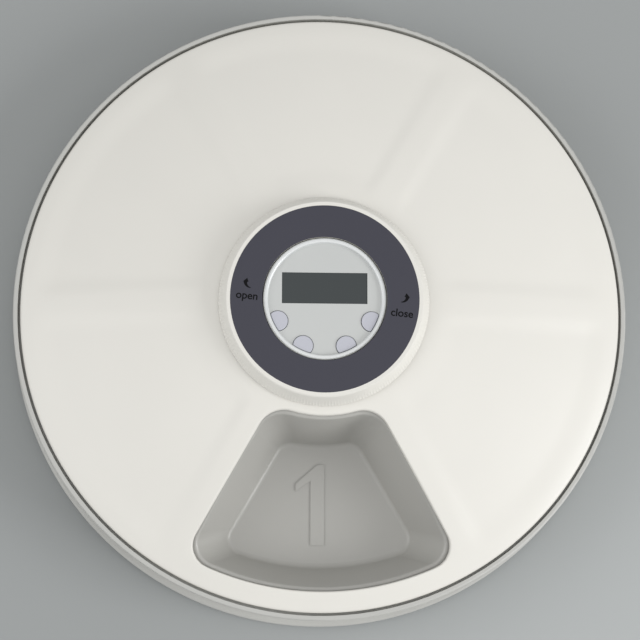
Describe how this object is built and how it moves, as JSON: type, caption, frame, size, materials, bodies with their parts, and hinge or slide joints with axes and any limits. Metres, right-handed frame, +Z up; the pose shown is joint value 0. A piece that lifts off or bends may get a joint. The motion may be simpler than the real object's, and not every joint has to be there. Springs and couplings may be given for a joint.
{
  "type": "automatic pet feeder",
  "caption": "Round timed pet feeder with a turning sectored food tray, a domed lid with one feeding opening, a twist lock ring and a central control panel.",
  "frame": {"origin": "centre of the feet's underside, on the tray's turning axis", "axes": "+Z up along the turning axis, -Y towards the feeding opening, +X to the right when facing the opening"},
  "size_m": [0.328, 0.328, 0.076],
  "materials": {
    "base_grey": "moulded, satin",
    "foot_rubber": "matt",
    "column_white": "moulded",
    "steel": "plated",
    "cell_jacket": "plain sleeve",
    "contact_brass": "plated strip",
    "motor_steel": "pressed can",
    "gear_acetal": "moulded",
    "board_green": "solder mask",
    "tray_grey": "moulded, satin",
    "lid_cream": "moulded, semi-gloss",
    "ring_dark": "printed face",
    "panel_silver": "silver paint",
    "display_dark": "blank window",
    "lcd_glass": "display module",
    "switch_black": "moulded",
    "button_lilac": "moulded"
  },
  "bodies": {
    "base": {"base_shell": "base_grey", "rubber_feet": "foot_rubber", "centre_column": "column_white", "column_screws": "steel", "battery_cells": "cell_jacket", "battery_contacts": "contact_brass", "motor_bracket": "column_white", "bracket_screws": "steel", "gear_motor": "motor_steel", "idler_axle": "steel", "glide_ring": "gear_acetal", "position_sensor": "board_green", "control_panel": "panel_silver", "display_window": "display_dark", "lcd_module": "lcd_glass", "lcd_frame": "column_white", "circuit_board": "board_green", "panel_screws": "steel", "tact_switches": "switch_black", "buzzer": "switch_black"},
    "battery_door": {"battery_door": "base_grey", "door_contacts": "contact_brass"},
    "tray": {"food_tray": "tray_grey", "turntable": "gear_acetal", "index_magnets": "motor_steel"},
    "idler": {"idler_gear": "gear_acetal"},
    "pinion": {"motor_pinion": "gear_acetal", "motor_shaft": "steel"},
    "lid": {"lid": "lid_cream"},
    "lock_ring": {"lock_ring": "lid_cream", "ring_face": "ring_dark", "ring_retainer": "column_white", "retainer_screws": "steel"},
    "button_1": {"button_1": "button_lilac"},
    "button_2": {"button_2": "button_lilac"},
    "button_3": {"button_3": "button_lilac"},
    "button_4": {"button_4": "button_lilac"}
  },
  "joints": [
    {"name": "tray_spin", "type": "hinge", "parent": "base", "child": "tray", "pos_m": [0, 0, 0.012], "axis": [0, 0, 1], "continuous": true},
    {"name": "idler_spin", "type": "hinge", "parent": "base", "child": "idler", "pos_m": [0, 0.042, 0.008], "axis": [0, 0, 1], "continuous": true},
    {"name": "pinion_spin", "type": "hinge", "parent": "base", "child": "pinion", "pos_m": [0, 0.0228, 0.008], "axis": [0, 0, 1], "continuous": true},
    {"name": "lid_lift", "type": "slide", "parent": "base", "child": "lid", "axis": [0, 0, 1], "range_m": [0, 0.12]},
    {"name": "ring_turn", "type": "hinge", "parent": "lid", "child": "lock_ring", "pos_m": [0, 0, 0.07], "axis": [0, 0, 1], "range_deg": [0, 45]},
    {"name": "door_hinge", "type": "hinge", "parent": "base", "child": "battery_door", "pos_m": [0, 0.0146, 0.004], "axis": [1, 0, 0], "range_deg": [0, 95]},
    {"name": "button_1_press", "type": "slide", "parent": "base", "child": "button_1", "axis": [0, 0, -1], "range_m": [0, 0.001], "stiffness_N_per_m": 400},
    {"name": "button_2_press", "type": "slide", "parent": "base", "child": "button_2", "axis": [0, 0, -1], "range_m": [0, 0.001], "stiffness_N_per_m": 400},
    {"name": "button_3_press", "type": "slide", "parent": "base", "child": "button_3", "axis": [0, 0, -1], "range_m": [0, 0.001], "stiffness_N_per_m": 400},
    {"name": "button_4_press", "type": "slide", "parent": "base", "child": "button_4", "axis": [0, 0, -1], "range_m": [0, 0.001], "stiffness_N_per_m": 400}
  ],
  "couplings": [
    {"joint": "idler_spin", "follows": "tray_spin", "ratio": 4.5},
    {"joint": "pinion_spin", "follows": "tray_spin", "ratio": -7.5}
  ]
}
